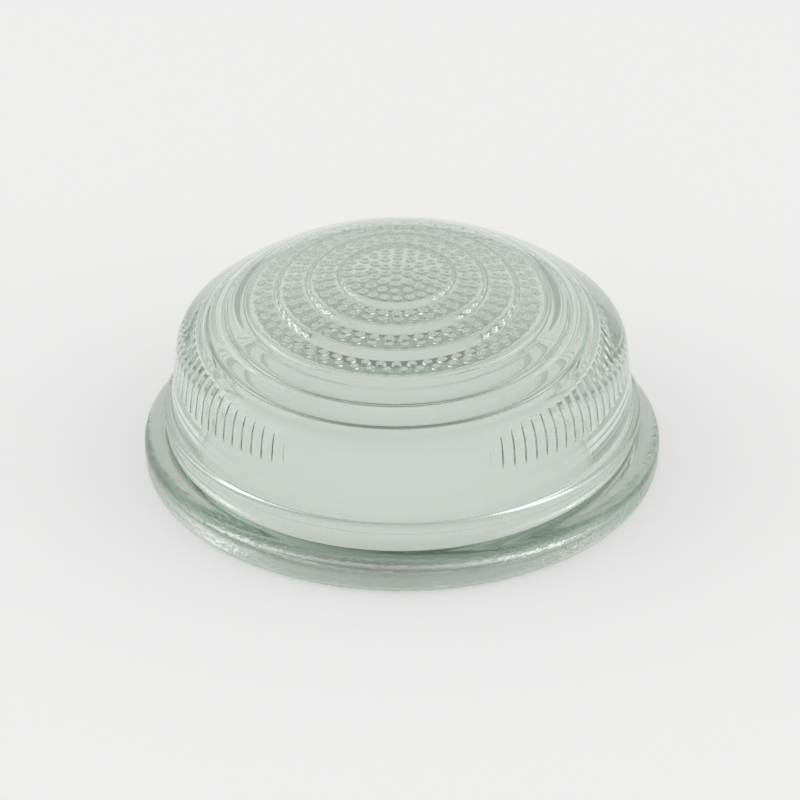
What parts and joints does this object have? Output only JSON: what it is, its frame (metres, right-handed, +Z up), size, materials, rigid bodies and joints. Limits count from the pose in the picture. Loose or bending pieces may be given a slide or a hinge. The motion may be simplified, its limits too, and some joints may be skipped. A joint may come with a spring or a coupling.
{
  "type": "pressed glass lamp lens",
  "caption": "Clear pressed-glass lamp lens: domed crown with a stepped, beaded inside, tapered skirt ribbed on the inside, and a rolled flange that a lamp's bezel clamps.",
  "frame": {"origin": "centre of the flange's flat foot face, which is the bottom of the lens", "axes": "+Z up through the crown, along the lens's axis; the plain window in the inner ribs faces -Y"},
  "size_m": [0.0842, 0.0842, 0.0362],
  "materials": {
    "glass": "clear, pale green, glossy"
  },
  "bodies": {
    "root": {"lens": "glass"}
  },
  "joints": []
}
